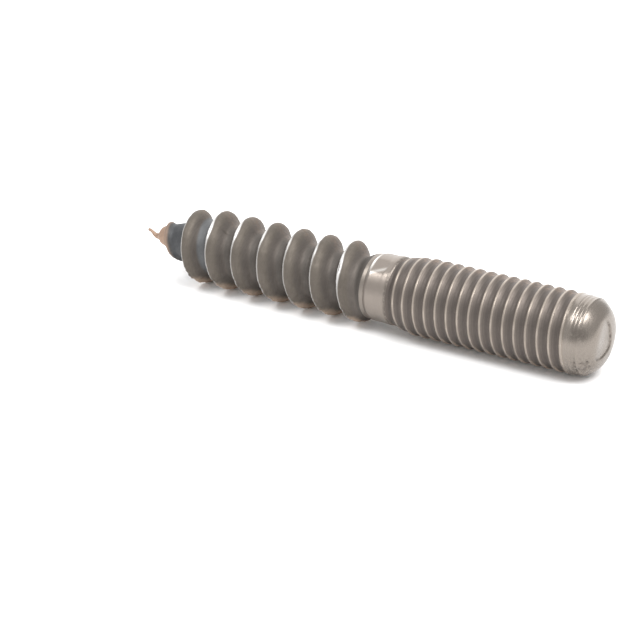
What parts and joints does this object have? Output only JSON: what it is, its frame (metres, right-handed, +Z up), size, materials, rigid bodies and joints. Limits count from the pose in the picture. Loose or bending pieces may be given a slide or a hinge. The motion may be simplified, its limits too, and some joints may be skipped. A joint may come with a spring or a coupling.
{
  "type": "double-threaded screw",
  "caption": "Steel double-threaded screw: a coarse wood thread with a gimlet point at one end, a plain collar, and a fine machine thread with a domed end at the other.",
  "frame": {"origin": "on the floor under the middle of the screw's length", "axes": "+X runs along the screw from the gimlet point to the domed end, +Z up"},
  "size_m": [0.0698, 0.0104, 0.0105],
  "materials": {
    "steel": "bare rolled steel with a thin oxide tint"
  },
  "bodies": {
    "root": {"double_threaded_screw": "steel"}
  },
  "joints": []
}
